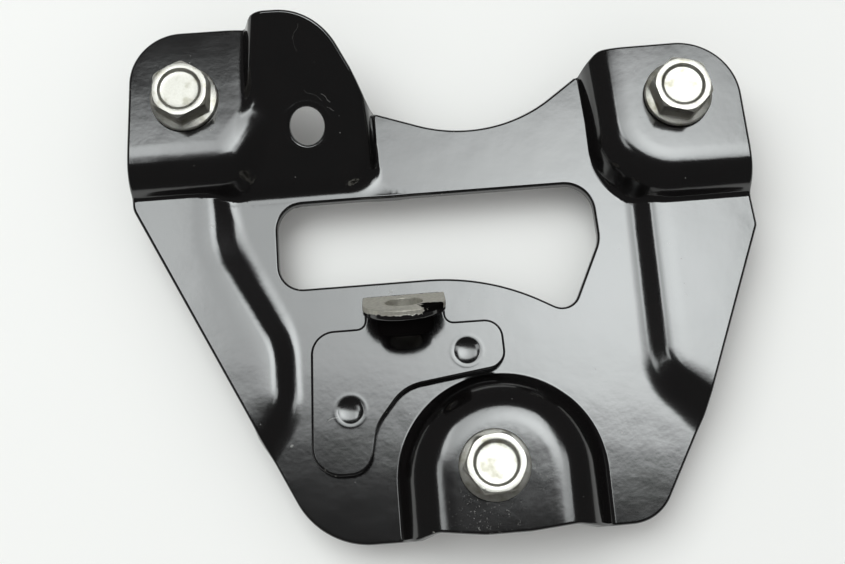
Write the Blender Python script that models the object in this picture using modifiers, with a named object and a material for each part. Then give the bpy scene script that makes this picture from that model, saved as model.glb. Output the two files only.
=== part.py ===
"""Bracket for the anti-lock brake pump of a motorbike, with its three flange bolts.

One steel sheet is blanked and pressed into the main plate: two raised ears and a raised boss carry the pump,
two shallow wings stiffen the sides, and an inclined flap has a hole for a neighbouring part. A smaller
folded piece is spot welded on it and ends in a tab with a weld nut. Plan drawings are in millimetres from
the slot's upper left corner, with X along the slot and Z = 0 on the main plate's upper face.
"""
import math

import bmesh
import bpy
import numpy as np
from mathutils import Matrix, Vector
from mathutils.geometry import delaunay_2d_cdt

MM = 0.001
CLEARANCE = 0.3

# Main plate: sheet, pressed heights and bends
SHEET = 2.0
CREST_RADIUS = 2 * SHEET
FOOT_BLEND = SHEET / 2
# Radius of the crest and size of the bend at the foot, for each kind of pressed form
BENDS = {"wing": (CREST_RADIUS, 0.4), "ear": (CREST_RADIUS, FOOT_BLEND), "boss": (6.0, 1.2)}
PAD_HEIGHT = 7.2
LEFT_WING_HEIGHT = 2.0
RIGHT_WING_HEIGHT = 1.8
STEEPEST_WALL = math.radians(80.0)
FLAP_ANGLE = math.radians(23.0)
FLAP_ZERO_Y = -0.6

# Outlines are corners of (x, y, corner radius), clockwise from the upper left
BLANK = [(-30.6, 33.6, 10.0), (5.0, 33.4, 12.5), (13.6, 17.6, 1.2), (36.6, 9.2, 28.0), (57.7, 24.2, 3.0),
         (83.6, 24.4, 11.6), (84.4, -4.0, 8.0), (84.9, -11.3, 2.0), (70.5, -46.2, 15.0), (60.2, -64.3, 8.5),
         (50.3, -64.4, 4.0), (45.0, -63.5, 5.0), (36.5, -64.2, 12.0), (28.5, -64.2, 12.0), (20.0, -63.1, 4.0),
         (16.0, -64.3, 1.5), (-0.5, -64.2, 15.0), (-32.3, 1.0, 4.0)]
SLOT = [(-5.4, 0.0, 5.0), (54.6, 0.0, 5.5), (55.0, -11.5, 6.0), (48.4, -25.1, 3.2), (33.5, -16.5, 43.0),
        (-5.5, -16.5, 4.5)]
FLAP_HOLE = (1.8, 13.4)
FLAP_HOLE_WIDTH = 6.5
FLAP_HOLE_LENGTH = 7.0

# Bolts: M6, and the places and turns of the three
BOLT_SEATS = {"upper_left_bolt": (-20.7, 19.9, 55.5), "upper_right_bolt": (71.7, 13.5, 13.7),
              "lower_bolt": (31.0, -52.4, 34.0)}
THREAD = 6.0
BOLT_HOLE = THREAD + 2 * CLEARANCE
BOLT_LENGTH = 16.0
BOLT_POINT = 0.8
FLANGE_DIAMETER = 12.7
FLANGE_RIM = 0.9
FLANGE_RISE = 0.5
RIM_ROUND = 0.2
ACROSS_FLATS = 9.9
HEAD_HEIGHT = 5.4
HEAD_CHAMFER = math.radians(28.0)
HEAD_FACE = ACROSS_FLATS - 0.2
DISH_DIAMETER = 8.0
DISH_FLOOR = 6.6
DISH_DEPTH = 1.1

# Folded piece with the tab
TAB_SHEET = 2.0
TAB_BEND_RADIUS = 1.0
TAB_BEND_ANGLE = math.radians(114.0)
TAB_BEND_Y = -22.9
TAB_LENGTH = 13.3
TAB_LEFT = 9.9
TAB_WIDTH = 14.9
TAB_HOLE = 6.8
NECK_RADIUS = 1.5
LOBES_TOP_Y = -25.3
RIGHT_LOBE = [(35.1, -25.4, 3.5), (35.3, -34.4, 3.4)]
NOTCH = [(16.4, -36.9, 8.0), (11.0, -43.4, 8.0)]
LEFT_LOBE = [(9.2, -52.0, 4.4), (-1.5, -52.0, 5.4)]
LEFT_SHOULDER = (-0.2, LOBES_TOP_Y, 4.5)
WELD_DIMPLES = [(28.2, -31.0), (6.2, -40.3)]
DIMPLE_DIAMETER = 5.0
DIMPLE_DEPTH = 0.9
NUT_DIAMETER = 10.0
NUT_HEIGHT = 3.0
NUT_BORE = 5.1
NUT_CHAMFER = 0.4

# Facets
EDGE_STEP = 2.0
ROW_STEP = 2.1
SEAM_STEP = 1.7
FIELD_STEP = 7.0
NEAREST = 0.62
CIRCLE_SIDES = 48
# How far up each wall the rows of points run, from its foot at 0 to its crest at 1
WALL_ROWS = (0.0, 1.0, -0.12, 0.12, 0.82, 0.64, 1.1, 0.46, 0.29)
BEND_ROWS = 8
BEND_COLUMNS = 7


def rounded(corners, step):
    """Points along a closed outline whose corners are arcs."""
    points = []
    count = len(corners)
    for index, (x, y, radius) in enumerate(corners):
        corner = Vector((x, y))
        before = (Vector(corners[index - 1][:2]) - corner).normalized()
        after = (Vector(corners[(index + 1) % count][:2]) - corner).normalized()
        half = before.angle(after) / 2
        reach = radius / math.tan(half)
        start = corner + before * reach
        end = corner + after * reach
        centre = corner + (before + after).normalized() * (radius / math.sin(half))
        turn = math.pi - 2 * half
        pieces = max(2, math.ceil(radius * turn / step), math.ceil(turn / 0.4))
        first = start - centre
        side = 1.0 if before.cross(after) > 0 else -1.0
        for piece in range(pieces + 1):
            spin = Matrix.Rotation(-side * turn * piece / pieces, 2)
            points.append(centre + spin @ first)
        points.extend(straight(end, arc_start(corners, (index + 1) % count), step))
    return np.array(points)


def arc_start(corners, index):
    """Where the arc of one corner begins, coming from the corner before it."""
    corner = Vector(corners[index][:2])
    before = (Vector(corners[index - 1][:2]) - corner).normalized()
    after = (Vector(corners[(index + 1) % len(corners)][:2]) - corner).normalized()
    return corner + before * (corners[index][2] / math.tan(before.angle(after) / 2))


def straight(start, end, step):
    """Points between two ends, without the ends."""
    pieces = max(1, math.ceil((end - start).length / step))
    return [start.lerp(end, piece / pieces) for piece in range(1, pieces)]


def oval(centre, width, length, step):
    """Points round an oval hole."""
    pieces = max(20, math.ceil(math.pi * width / step))
    angles = np.arange(pieces) * 2 * math.pi / pieces
    return np.column_stack((centre[0] + width / 2 * np.cos(angles), centre[1] + length / 2 * np.sin(angles)))


def signed_distance(points, loop):
    """Distance from points to a closed outline, positive inside."""
    nearest = np.full(len(points), 1e9)
    inside = np.zeros(len(points), dtype=bool)
    for start, end in zip(loop, np.roll(loop, -1, axis=0)):
        along = end - start
        offset = points - start
        share = np.clip(offset @ along / max(along @ along, 1e-12), 0.0, 1.0)
        gap = offset - share[:, None] * along
        nearest = np.minimum(nearest, np.hypot(gap[:, 0], gap[:, 1]))
        spans = (start[1] > points[:, 1]) != (end[1] > points[:, 1])
        rise = along[1] if along[1] else 1e-12
        crosses = points[:, 0] < start[0] + (points[:, 1] - start[1]) * along[0] / rise
        inside ^= spans & crosses
    return np.where(inside, nearest, -nearest)


def level(height):
    """A flat top for a pressed form."""
    return lambda points: np.full(len(points), height)


def flap_plane(points):
    """The flap's inclined top, which rises away from the slot."""
    return np.maximum(math.tan(FLAP_ANGLE) * (points[:, 1] - FLAP_ZERO_Y), 0.4)


# Pressed forms: the line where each wall leaves the sheet, the line where it reaches its top, the top, and the
# wall's two bends.
# Both lines have the same corners, and they run past the blank where the form is open.
PRESSINGS = {
    "left_wing": (
        [(-60.0, 10.0, 0.5), (-14.4, 10.0, 0.5), (-12.2, -6.4, 20.0), (-3.2, -25.6, 20.0), (-3.3, -39.5, 13.0),
         (-16.0, -58.0, 0.5), (-60.0, -58.0, 0.5)],
        [(-60.0, 10.0, 0.5), (-18.6, 10.0, 0.5), (-18.0, -8.4, 16.0), (-8.0, -28.2, 12.0), (-8.1, -36.6, 8.0),
         (-17.5, -53.0, 0.5), (-60.0, -53.0, 0.5)],
        level(LEFT_WING_HEIGHT), *BENDS["wing"]),
    "right_wing": (
        [(61.9, 10.0, 0.5), (110.0, 10.0, 0.5), (110.0, -59.0, 0.5), (80.6, -59.0, 0.5), (61.3, -38.7, 11.0)],
        [(66.5, 10.0, 0.5), (110.0, 10.0, 0.5), (110.0, -51.0, 0.5), (84.0, -51.0, 0.5), (66.2, -35.6, 6.0)],
        level(RIGHT_WING_HEIGHT), *BENDS["wing"]),
    "left_ear": (
        [(-60.0, 50.0, 0.5), (3.0, 50.0, 0.5), (3.0, 20.0, 0.5), (-9.8, 1.7, 10.0), (-60.0, 1.7, 0.5)],
        [(-60.0, 50.0, 0.5), (-3.0, 50.0, 0.5), (-3.0, 22.3, 0.5), (-12.8, 9.1, 6.0), (-60.0, 9.6, 0.5)],
        level(PAD_HEIGHT), *BENDS["ear"]),
    "right_ear": (
        [(53.0, 50.0, 0.5), (110.0, 50.0, 0.5), (110.0, -6.3, 0.5), (55.4, -6.1, 13.0), (55.2, 12.0, 20.0)],
        [(59.6, 50.0, 0.5), (110.0, 50.0, 0.5), (110.0, 0.9, 0.5), (60.9, 0.7, 9.5), (60.6, 12.0, 20.0)],
        level(PAD_HEIGHT), *BENDS["ear"]),
    "boss": (
        [(14.1, -35.6, 18.65), (51.5, -35.6, 18.65), (51.5, -90.0, 0.5), (14.1, -90.0, 0.5)],
        [(21.1, -42.2, 11.35), (43.9, -42.2, 11.35), (43.9, -90.0, 0.5), (21.1, -90.0, 0.5)],
        level(PAD_HEIGHT), *BENDS["boss"]),
    "flap": (
        [(-10.0, 38.0, 0.5), (14.3, 38.0, 0.5), (14.3, 1.7, 4.6), (-16.0, 1.7, 0.5), (-13.6, 17.0, 12.0)],
        [(-3.7, 38.0, 0.5), (9.7, 38.0, 0.5), (10.9, 4.6, 3.0), (-14.0, 4.6, 0.5), (-7.0, 17.0, 12.0)],
        flap_plane, *BENDS["ear"]),
}


def wall_height(points, foot, crest, top, crest_radius):
    """Height of one pressed form: a straight wall with a round crest, falling on below the sheet."""
    inward = signed_distance(points, foot)
    width = np.maximum(inward - signed_distance(points, crest), 0.1)
    height = top(points)
    low_limit = 0.98 * (width ** 2 + height ** 2) / (2 * height)
    steep_limit = (width * math.tan(STEEPEST_WALL) - height) / (1 / math.cos(STEEPEST_WALL) - 1)
    radius = np.clip(np.minimum(low_limit, steep_limit), 0.05, crest_radius)
    drop = height - radius
    slope = np.arctan2(drop, width) + np.arcsin(radius / np.hypot(width, drop))
    short = np.clip(width - inward, 0.0, radius)
    arc = drop + np.sqrt(radius ** 2 - short ** 2)
    return np.where(inward < width - radius * np.sin(slope), inward * np.tan(slope), arc)


def blend_up(first, second, reach):
    """The higher of two surfaces, with a concave bend where they cross."""
    share = np.maximum(reach - np.abs(first - second), 0.0) / reach
    return np.maximum(first, second) + share ** 2 * reach / 4


def form_heights(points, loops):
    """Height of every pressed form at the points, one column each, after the flat sheet."""
    columns = [np.zeros(len(points))]
    for name, (foot, crest) in loops.items():
        _, _, top, crest_radius, _ = PRESSINGS[name]
        columns.append(wall_height(points, foot, crest, top, crest_radius))
    return np.column_stack(columns)


def plate_height(columns):
    """The pressed surface: all forms blended into one sheet."""
    height = columns[:, 0]
    for column, (*_, blend) in zip(columns.T[1:], PRESSINGS.values()):
        height = blend_up(height, column, blend)
    return height


def between(foot, crest, share):
    """An outline part of the way from a wall's foot to its crest."""
    return [tuple(a + (b - a) * share for a, b in zip(low, high)) for low, high in zip(foot, crest)]


def grid(low, high, step):
    """A triangular grid of points over a rectangle."""
    rows = []
    for row, y in enumerate(np.arange(low[1], high[1], step * math.sqrt(3) / 2)):
        xs = np.arange(low[0] + (row % 2) * step / 2, high[0], step)
        rows.append(np.column_stack((xs, np.full(len(xs), y))))
    return np.vstack(rows)


def thinned(groups, nearest):
    """Points of all groups, where a later point that lies too near an earlier one is left out."""
    cells = {}
    kept = []
    for group in groups:
        for point in group:
            cell = (math.floor(point[0] / nearest), math.floor(point[1] / nearest))
            around = [near for i in (-1, 0, 1) for j in (-1, 0, 1)
                      for near in cells.get((cell[0] + i, cell[1] + j), ())]
            if all(math.dist(point, near) >= nearest for near in around):
                cells.setdefault(cell, []).append(tuple(point))
                kept.append(tuple(point))
    return kept


def distance_to(point, others):
    """Distance from a point to the nearest of the others."""
    return min(math.dist(point, other) for other in others)


def flat_triangles(edges, inner):
    """Triangles between outlines, the first of which is the outer one, through the inner points."""
    points = []
    borders = []
    for loop in edges:
        first = len(points)
        points.extend(tuple(point) for point in loop)
        borders.extend((first + i, first + (i + 1) % len(loop)) for i in range(len(loop)))
    points.extend(inner)
    found = delaunay_2d_cdt([Vector(point) for point in points], borders, [], 0, 1e-5)
    corners = np.array([tuple(point) for point in found[0]])
    faces = np.array(found[2])
    middles = corners[faces].mean(axis=1)
    keep = signed_distance(middles, edges[0]) > 0
    for hole in edges[1:]:
        keep &= signed_distance(middles, hole) < 0
    return corners, faces[keep]


def mesh_object(name, points, faces, material):
    """A mesh object in metres from points in millimetres, with its faces turned up."""
    mesh = bpy.data.meshes.new(name)
    mesh.from_pydata([Vector(point) * MM for point in points], [], [tuple(map(int, face)) for face in faces])
    obj = bpy.data.objects.new(name, mesh)
    work = bmesh.new()
    work.from_mesh(mesh)
    loose = [vert for vert in work.verts if not vert.link_faces]
    bmesh.ops.delete(work, geom=loose, context="VERTS")
    for face in work.faces:
        face.smooth = True
    work.to_mesh(mesh)
    work.free()
    mesh.materials.append(material)
    return obj


def solidify(obj, thickness):
    """Give an open sheet its thickness, below its face."""
    wall = obj.modifiers.new("Sheet", "SOLIDIFY")
    wall.thickness = thickness * MM
    wall.offset = -1.0
    wall.use_even_offset = True
    wall.use_quality_normals = True


def cut(obj, cutter):
    """Take a cutter out of an object."""
    boolean = obj.modifiers.new("Cut " + cutter.name, "BOOLEAN")
    boolean.operation = "DIFFERENCE"
    boolean.object = cutter


def material(name, colour, roughness, metallic):
    """A plain finish."""
    made = bpy.data.materials.new(name)
    made.use_nodes = True
    shader = made.node_tree.nodes["Principled BSDF"]
    shader.inputs["Base Color"].default_value = (*colour, 1.0)
    shader.inputs["Roughness"].default_value = roughness
    shader.inputs["Metallic"].default_value = metallic
    return made


def build_main_plate(finish):
    """The pressed sheet: outline, slot, bolt holes and flap hole, raised by its pressed forms."""
    blank = rounded(BLANK, EDGE_STEP)
    holes = [rounded(SLOT, EDGE_STEP)]
    holes.append(oval(FLAP_HOLE, FLAP_HOLE_WIDTH, FLAP_HOLE_LENGTH * math.cos(FLAP_ANGLE), EDGE_STEP / 2))
    for x, y, _ in BOLT_SEATS.values():
        holes.append(oval((x, y), BOLT_HOLE, BOLT_HOLE, EDGE_STEP / 2))
    loops = {name: (rounded(foot, EDGE_STEP), rounded(crest, EDGE_STEP))
             for name, (foot, crest, *_) in PRESSINGS.items()}

    def usable(points, margin):
        clear = signed_distance(points, blank) > margin
        for hole in holes:
            clear &= signed_distance(points, hole) < -margin
        return points[clear]

    rows = []
    for index, (foot, crest, *_) in enumerate(PRESSINGS.values(), start=1):
        for share in WALL_ROWS:
            row = usable(rounded(between(foot, crest, share), ROW_STEP), NEAREST)
            columns = form_heights(row, loops)
            others = np.delete(columns, index, axis=1).max(axis=1)
            rows.append(row[columns[:, index] > others - FOOT_BLEND])
    low, high = blank.min(axis=0), blank.max(axis=0)
    seams = usable(grid(low, high, SEAM_STEP), NEAREST)
    ranked = np.sort(form_heights(seams, loops), axis=1)
    crossing = (ranked[:, -1] - ranked[:, -2] < 1.5 * FOOT_BLEND) & (ranked[:, -2] > 0.2)
    field = usable(grid(low, high, FIELD_STEP), FIELD_STEP / 3)
    inner = thinned(rows + [seams[crossing]], NEAREST)
    inner += [point for point in field if distance_to(point, inner) > FIELD_STEP / 3]
    corners, faces = flat_triangles([blank] + holes, inner)
    heights = plate_height(form_heights(corners, loops))
    plate = mesh_object("main_plate", np.column_stack((corners, heights)), faces, finish)
    solidify(plate, SHEET)
    return plate


def tab_corners():
    """The folded piece laid flat: its two lobes, its neck and the tab with its round end."""
    right = TAB_LEFT + TAB_WIDTH
    end = tab_end_y()
    round_end = TAB_WIDTH * 0.499
    return [LEFT_SHOULDER, (TAB_LEFT, LOBES_TOP_Y, NECK_RADIUS), (TAB_LEFT, end, round_end),
            (right, end, round_end), (right, LOBES_TOP_Y, NECK_RADIUS), *RIGHT_LOBE, *NOTCH, *LEFT_LOBE]


def tab_end_y():
    """Where the tab would end if it weren't folded."""
    return TAB_BEND_Y + TAB_BEND_RADIUS * TAB_BEND_ANGLE + TAB_LENGTH


def fold(points, base):
    """Fold the flat piece up at its bend line, which turns the tab back over the lobes."""
    past = np.maximum(points[:, 1] - TAB_BEND_Y, 0.0)
    turn = np.minimum(past / TAB_BEND_RADIUS, TAB_BEND_ANGLE)
    beyond = past - turn * TAB_BEND_RADIUS
    y = np.minimum(points[:, 1], TAB_BEND_Y) + TAB_BEND_RADIUS * np.sin(turn)
    y += beyond * math.cos(TAB_BEND_ANGLE)
    z = base + TAB_BEND_RADIUS * (1 - np.cos(turn)) + beyond * math.sin(TAB_BEND_ANGLE)
    return np.column_stack((points[:, 0], y, z))


def build_tab_bracket(finish, cutters):
    """The folded piece, with a dimple at each weld."""
    outline = rounded(tab_corners(), EDGE_STEP)
    middle = TAB_LEFT + TAB_WIDTH / 2
    hole = oval((middle, tab_end_y() - TAB_WIDTH / 2), TAB_HOLE, TAB_HOLE, EDGE_STEP / 2)
    top = CLEARANCE + TAB_SHEET
    inner = []
    for step in range(BEND_ROWS + 1):
        y = TAB_BEND_Y + TAB_BEND_RADIUS * TAB_BEND_ANGLE * step / BEND_ROWS
        inner += [(x, y) for x in np.linspace(TAB_LEFT, TAB_LEFT + TAB_WIDTH, BEND_COLUMNS)]
    corners, faces = flat_triangles([outline, hole], inner)
    tab = mesh_object("tab_bracket", fold(corners, top), faces, finish)
    solidify(tab, TAB_SHEET)
    ball = ((DIMPLE_DIAMETER / 2) ** 2 + DIMPLE_DEPTH ** 2) / (2 * DIMPLE_DEPTH)
    for number, (x, y) in enumerate(WELD_DIMPLES, start=1):
        work = bmesh.new()
        bmesh.ops.create_uvsphere(work, u_segments=48, v_segments=48, radius=ball * MM)
        mesh = bpy.data.meshes.new(f"dimple_{number}")
        work.to_mesh(mesh)
        work.free()
        cutter = bpy.data.objects.new(mesh.name, mesh)
        cutter.location = Vector((x, y, top - DIMPLE_DEPTH + ball)) * MM
        cutter.hide_render = True
        cutter.display_type = "WIRE"
        cutters.objects.link(cutter)
        cut(tab, cutter)
    return tab


def turned(name, profile, sides, finish):
    """A solid of revolution about Z from a profile of (radius, height) that runs down its outer side."""
    mesh = bpy.data.meshes.new(name)
    points = [(radius * MM, 0.0, height * MM) for radius, height in profile]
    mesh.from_pydata(points, [(i, i + 1) for i in range(len(points) - 1)], [])
    obj = bpy.data.objects.new(name, mesh)
    screw = obj.modifiers.new("Turn", "SCREW")
    screw.steps = sides
    screw.render_steps = sides
    screw.use_merge_vertices = True
    screw.merge_threshold = 0.00001
    mesh.materials.append(finish)
    return obj


def baked(obj, collection):
    """The evaluated mesh of an object as a plain mesh, with the object itself removed."""
    collection.objects.link(obj)
    bpy.context.view_layer.update()
    mesh = bpy.data.meshes.new_from_object(obj.evaluated_get(bpy.context.evaluated_depsgraph_get()))
    bpy.data.objects.remove(obj)
    work = bmesh.new()
    work.from_mesh(mesh)
    bmesh.ops.remove_doubles(work, verts=work.verts, dist=0.000005)
    work.to_mesh(mesh)
    work.free()
    return mesh


def bolt_mesh(finish, collection):
    """One flange bolt about Z, with the underside of its flange at Z = 0."""
    rim = FLANGE_DIAMETER / 2
    corner = ACROSS_FLATS / 2 / math.cos(math.pi / 6)
    flange_top = FLANGE_RIM + FLANGE_RISE
    body = turned("bolt_body", [
        (0.0, flange_top), (ACROSS_FLATS / 2, flange_top), (rim - RIM_ROUND, FLANGE_RIM),
        (rim, FLANGE_RIM - RIM_ROUND), (rim, 0.0), (THREAD / 2, 0.0), (THREAD / 2, BOLT_POINT - BOLT_LENGTH),
        (THREAD / 2 - BOLT_POINT, -BOLT_LENGTH), (0.0, -BOLT_LENGTH)], CIRCLE_SIDES, finish)
    outside = corner * 1.2
    slant = (outside - HEAD_FACE / 2) * math.tan(HEAD_CHAMFER)
    root = FLANGE_RIM / 2
    envelope = turned("head_chamfer", [
        (0.0, HEAD_HEIGHT - DISH_DEPTH), (DISH_FLOOR / 2, HEAD_HEIGHT - DISH_DEPTH),
        (DISH_DIAMETER / 2, HEAD_HEIGHT), (HEAD_FACE / 2, HEAD_HEIGHT),
        (outside, HEAD_HEIGHT - slant), (outside, root), (0.0, root)], CIRCLE_SIDES, finish)
    work = bmesh.new()
    place = Matrix.Translation((0, 0, (root + HEAD_HEIGHT / 2) * MM)) @ Matrix.Rotation(math.pi / 6, 4, "Z")
    bmesh.ops.create_cone(work, cap_ends=True, segments=6, radius1=corner * MM, radius2=corner * MM,
                          depth=HEAD_HEIGHT * MM, matrix=place)
    head_mesh = bpy.data.meshes.new("hexagon")
    work.to_mesh(head_mesh)
    work.free()
    head_mesh.materials.append(finish)
    head = bpy.data.objects.new("hexagon", head_mesh)
    for tool in (envelope, body):
        collection.objects.link(tool)
    chamfer = head.modifiers.new("Chamfer", "BOOLEAN")
    chamfer.operation = "INTERSECT"
    chamfer.object = envelope
    join = head.modifiers.new("Flange", "BOOLEAN")
    join.operation = "UNION"
    join.object = body
    mesh = baked(head, collection)
    for tool in (envelope, body):
        bpy.data.objects.remove(tool)
    mesh.name = "flange_bolt"
    mesh.shade_smooth()
    mesh.set_sharp_from_angle(angle=math.radians(30.0))
    return mesh


def build_weld_nut(finish):
    """The round nut welded on the tab's inner face, over its hole."""
    bore = NUT_BORE / 2
    rim = NUT_DIAMETER / 2
    nut = turned("tab_weld_nut", [
        (bore, NUT_HEIGHT - NUT_CHAMFER), (bore + NUT_CHAMFER, NUT_HEIGHT), (rim - NUT_CHAMFER, NUT_HEIGHT),
        (rim, NUT_HEIGHT - NUT_CHAMFER), (rim, 0.0), (bore, 0.0), (bore, NUT_HEIGHT - NUT_CHAMFER)],
        CIRCLE_SIDES, finish)
    return nut


def seat_weld_nut(nut):
    """Put the nut's foot on the tab's inner face, in line with the hole."""
    along = Vector((0.0, math.cos(TAB_BEND_ANGLE), math.sin(TAB_BEND_ANGLE)))
    inward = Vector((0.0, -math.sin(TAB_BEND_ANGLE), math.cos(TAB_BEND_ANGLE)))
    middle = TAB_LEFT + TAB_WIDTH / 2
    hole_y = tab_end_y() - TAB_WIDTH / 2
    seat = Vector(fold(np.array([(middle, hole_y)]), CLEARANCE + TAB_SHEET)[0]) + inward * CLEARANCE
    across = along.cross(inward)
    frame = Matrix((across, along, inward)).transposed().to_4x4()
    nut.matrix_world = Matrix.Translation(seat * MM) @ frame


def build():
    """Model every piece and set the bracket on its bolt tips."""
    for obj in list(bpy.data.objects):
        bpy.data.objects.remove(obj)
    parts = bpy.data.collections.new("pump_bracket")
    cutters = bpy.data.collections.new("cutters")
    for collection in (parts, cutters):
        bpy.context.scene.collection.children.link(collection)
    paint = material("black_paint", (0.01, 0.01, 0.011), 0.15, 0.0)
    tab_paint = material("tab_paint", (0.012, 0.012, 0.013), 0.2, 0.0)
    zinc = material("bright_zinc", (0.75, 0.73, 0.68), 0.3, 1.0)
    nut_paint = material("nut_paint", (0.014, 0.014, 0.015), 0.3, 0.0)

    seat_height = PAD_HEIGHT + CLEARANCE
    stand = bpy.data.objects.new("bracket", None)
    parts.objects.link(stand)

    pieces = [build_main_plate(paint), build_tab_bracket(tab_paint, cutters)]
    nut = build_weld_nut(nut_paint)
    seat_weld_nut(nut)
    pieces.append(nut)
    mesh = bolt_mesh(zinc, parts)
    for name, (x, y, turn) in BOLT_SEATS.items():
        bolt = bpy.data.objects.new(name, mesh)
        bolt.location = Vector((x, y, seat_height)) * MM
        bolt.rotation_euler = (0.0, 0.0, math.radians(turn))
        pieces.append(bolt)
    for piece in pieces:
        parts.objects.link(piece)
        piece.parent = stand
    for cutter in cutters.objects:
        cutter.parent = stand
    bpy.context.view_layer.update()
    plate = pieces[0].evaluated_get(bpy.context.evaluated_depsgraph_get())
    box = np.array(plate.bound_box)
    middle = (box.min(axis=0) + box.max(axis=0)) / 2
    stand.location = (-middle[0], -middle[1], (BOLT_LENGTH - seat_height) * MM)


build()
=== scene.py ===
import math

import bpy
import numpy as np
from mathutils import Matrix, Vector
from mathutils.geometry import delaunay_2d_cdt


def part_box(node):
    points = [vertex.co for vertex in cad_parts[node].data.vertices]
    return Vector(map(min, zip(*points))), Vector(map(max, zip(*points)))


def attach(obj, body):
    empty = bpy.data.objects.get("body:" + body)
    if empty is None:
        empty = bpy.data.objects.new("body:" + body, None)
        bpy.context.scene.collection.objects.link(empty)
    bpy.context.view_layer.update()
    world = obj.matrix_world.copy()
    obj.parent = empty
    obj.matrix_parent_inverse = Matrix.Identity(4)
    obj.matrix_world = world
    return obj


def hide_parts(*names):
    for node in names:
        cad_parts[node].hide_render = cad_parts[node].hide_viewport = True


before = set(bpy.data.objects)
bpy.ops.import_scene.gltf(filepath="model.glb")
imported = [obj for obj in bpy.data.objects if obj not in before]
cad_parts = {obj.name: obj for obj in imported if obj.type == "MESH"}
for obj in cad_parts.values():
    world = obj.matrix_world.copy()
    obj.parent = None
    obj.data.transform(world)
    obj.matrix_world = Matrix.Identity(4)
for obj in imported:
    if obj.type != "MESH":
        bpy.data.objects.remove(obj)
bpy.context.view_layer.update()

# The main plate is one steel sheet, blanked, pressed in a die and sprayed gloss black: two raised ears and a
# raised boss for the pump, a shallow wing along each side and an inclined flap with a hole. Its drawing is in
# millimetres from the slot's upper left corner, and the lower bolt shows where the drawing lies.
MM = 0.001
SHEET = 2.0
PAD_HEIGHT = 7.2
LEFT_WING_HEIGHT = 2.0
RIGHT_WING_HEIGHT = 1.8
WING_BENDS = (6.0, 0.6, 0.08)
EAR_BENDS = (6.0, 1.0, 0.16)
BOSS_BENDS = (7.0, 1.2, 0.18)
FLAP_BENDS = (3.2, 1.0, 0.0)
SHOULDER = 3.0
EAR_TO_FLAP_BEND = 2.0
STEEPEST_WALL = math.radians(80.0)
FLAP_ANGLE = math.radians(23.0)
FLAP_ZERO_Y = -0.6
EDGE_ROLL = 0.55
EDGE_BURR = 0.2
BLANK = [(-30.6, 33.6, 10.0), (5.0, 33.4, 12.5), (13.6, 17.6, 1.2), (36.6, 9.2, 28.0), (57.7, 24.2, 3.0),
         (83.6, 24.4, 11.6), (84.4, -4.0, 8.0), (84.9, -11.3, 2.0), (70.5, -46.2, 15.0), (60.2, -64.3, 8.5),
         (50.3, -64.4, 4.0), (45.0, -63.5, 5.0), (36.5, -64.2, 12.0), (28.5, -64.2, 12.0), (20.0, -63.1, 4.0),
         (16.0, -64.3, 1.5), (-0.5, -64.2, 15.0), (-32.3, 1.0, 4.0)]
SLOT = [(-5.4, 0.0, 5.0), (54.6, 0.0, 5.5), (55.0, -11.5, 6.0), (48.4, -25.1, 3.2), (33.5, -16.5, 43.0),
        (-5.5, -16.5, 4.5)]
FLAP_HOLE = (1.8, 13.4)
FLAP_HOLE_WIDTH = 6.5
FLAP_HOLE_LENGTH = 7.0
PAINT_RING = 4.5
BOLT_PLACES = {"upper_left": (-20.7, 19.9), "upper_right": (71.7, 13.5), "lower": (31.0, -52.4)}
BOLT_HOLE = 6.6
BOLT_LENGTH = 16.0
SEAT_GAP = 0.3
LEAST_FLAP_HEIGHT = 0.4
RING_HEIGHT = 0.07
RING_WIDTH = 0.3
ARC_STEP = 0.3
EDGE_SPACING = 0.55
HOLE_SPACING = 0.4
EDGE_CLEARANCE = 0.2

low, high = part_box("lower_bolt")
drawing = (low + high) / 2 / MM - Vector((*BOLT_PLACES["lower"], 0.0))
drawing.z = BOLT_LENGTH - PAD_HEIGHT - SEAT_GAP


def outline(corners, step):
    """A closed outline whose corners are arcs, clockwise, with its straights left whole."""
    points = []
    for index, (x, y, radius) in enumerate(corners):
        corner = Vector((x, y))
        before = (Vector(corners[index - 1][:2]) - corner).normalized()
        after = (Vector(corners[(index + 1) % len(corners)][:2]) - corner).normalized()
        half = before.angle(after) / 2
        start = corner + before * (radius / math.tan(half))
        centre = corner + (before + after).normalized() * (radius / math.sin(half))
        turn = math.pi - 2 * half
        pieces = max(3, math.ceil(radius * turn / step))
        side = 1.0 if before.cross(after) > 0 else -1.0
        for piece in range(pieces + 1):
            points.append(centre + Matrix.Rotation(-side * turn * piece / pieces, 2) @ (start - centre))
    return np.array(points)


def spaced(loop, step):
    """The same closed outline with evenly spaced points."""
    closed = np.vstack((loop, loop[:1]))
    along = np.concatenate(([0.0], np.cumsum(np.hypot(*np.diff(closed, axis=0).T))))
    count = max(8, round(along[-1] / step))
    wanted = np.arange(count) * along[-1] / count
    return np.column_stack([np.interp(wanted, along, closed[:, axis]) for axis in (0, 1)])


def round_hole(centre, width, length, step):
    """The edge of a hole, clockwise."""
    angles = -np.linspace(0, 2 * math.pi, max(24, round(math.pi * width / step)), endpoint=False)
    return np.column_stack((centre[0] + width / 2 * np.cos(angles), centre[1] + length / 2 * np.sin(angles)))


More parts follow.
